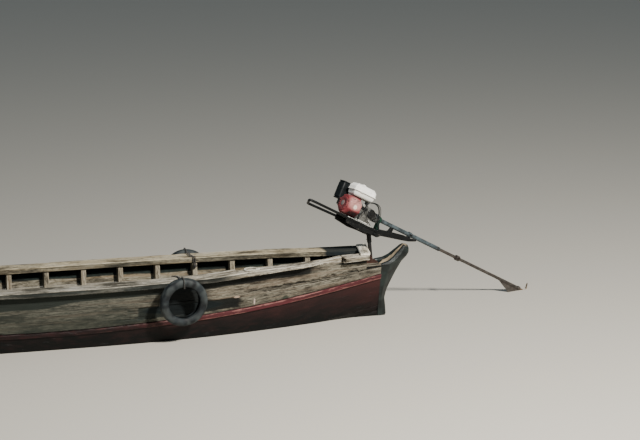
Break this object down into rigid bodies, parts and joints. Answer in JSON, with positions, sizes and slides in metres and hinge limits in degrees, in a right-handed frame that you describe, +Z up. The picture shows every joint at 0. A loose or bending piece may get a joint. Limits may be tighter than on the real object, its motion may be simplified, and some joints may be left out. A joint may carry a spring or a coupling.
{
  "type": "wooden river boat with long-tail motor",
  "caption": "Planked wooden river boat on ribs with carved end blocks, tyre fenders and a swivelling, tilting long-tail motor on a stern post.",
  "frame": {"origin": "on the centreline at the water plane, at mid length of the planked hull", "axes": "+X forward to the bow, +Y to port, +Z up"},
  "size_m": [8.0806, 1.2372, 1.4483],
  "materials": {
    "grey_wood": "weathered bare planks",
    "red_paint": "worn red paint on wood",
    "dark_paint": "dark maroon paint on wood",
    "bare_wood": "sun-bleached bare wood",
    "black_green_wood": "dark green paint, worn, on carved wood",
    "tyre_rubber": "dull",
    "rope": "laid rope",
    "dark_cord": "laid cord",
    "rusty_steel": "rusty",
    "black_steel": "satin",
    "cast_aluminium": "as cast",
    "red_cover": "glossy",
    "white_tank": "glossy",
    "black_plastic": "matte",
    "green_paint": "satin",
    "pale_paint": "satin",
    "tail_steel": "worn, rusty",
    "bronze": "dull bronze"
  },
  "bodies": {
    "hull": {"upper_side_port": "grey_wood", "upper_side_starboard": "grey_wood", "lower_side_port": "grey_wood", "lower_side_starboard": "grey_wood", "floorboards": "grey_wood", "thwart": "grey_wood", "motor_step": "grey_wood", "rib_01": "grey_wood", "rib_02": "grey_wood", "rib_03": "grey_wood", "rib_04": "grey_wood", "rib_05": "grey_wood", "rib_06": "grey_wood", "rib_07": "grey_wood", "rib_08": "grey_wood", "rib_09": "grey_wood", "rib_10": "grey_wood", "rib_11": "grey_wood", "rib_12": "grey_wood", "rib_13": "grey_wood", "rib_14": "grey_wood", "rib_15": "grey_wood", "bilge_strake_port": "red_paint", "bilge_strake_starboard": "red_paint", "rubbing_batten_port": "red_paint", "rubbing_batten_starboard": "red_paint", "garboard_port": "dark_paint", "garboard_starboard_fore": "dark_paint", "garboard_starboard_aft": "dark_paint", "keel_beam": "dark_paint", "covering_board_port": "bare_wood", "covering_board_port_aft": "bare_wood", "covering_board_starboard": "bare_wood", "aft_crossbeam": "bare_wood", "stern_block": "black_green_wood", "bow_block": "black_green_wood", "fender_tyre_port": "tyre_rubber", "fender_tyre_starboard": "tyre_rubber", "rope_coil": "rope", "fender_lashing_port": "dark_cord", "fender_lashing_starboard": "dark_cord", "motor_post": "rusty_steel"},
    "yoke": {"motor_yoke": "black_steel"},
    "motor": {"motor_frame": "black_steel", "crankcase": "cast_aluminium", "cylinder": "cast_aluminium", "cylinder_head": "cast_aluminium", "fan_cover": "red_cover", "recoil_starter": "red_cover", "fuel_tank": "white_tank", "fuel_cap": "white_tank", "air_cleaner": "black_plastic", "carburettor": "cast_aluminium", "exhaust_box": "rusty_steel", "coupling_housing": "black_steel", "bearing_bracket": "green_paint", "throttle_cable": "black_plastic", "tail_sleeve": "pale_paint", "tail_tube": "tail_steel"},
    "propeller": {"propeller": "bronze"}
  },
  "joints": [
    {"name": "motor_swivel", "type": "hinge", "parent": "hull", "child": "yoke", "pos_m": [-2.862, 0, 0.5], "axis": [0.0872, 0, 0.9962], "range_deg": [-78, 42]},
    {"name": "motor_tilt", "type": "hinge", "parent": "yoke", "child": "motor", "pos_m": [-2.83794, 0, 0.77495], "axis": [-0.3078, 0.9511, 0.0269], "range_deg": [-1, 38]},
    {"name": "propeller_spin", "type": "hinge", "parent": "motor", "child": "propeller", "pos_m": [-4.57625, -0.5398, -0.03225], "axis": [0.8436, 0.2597, 0.47], "continuous": true}
  ]
}
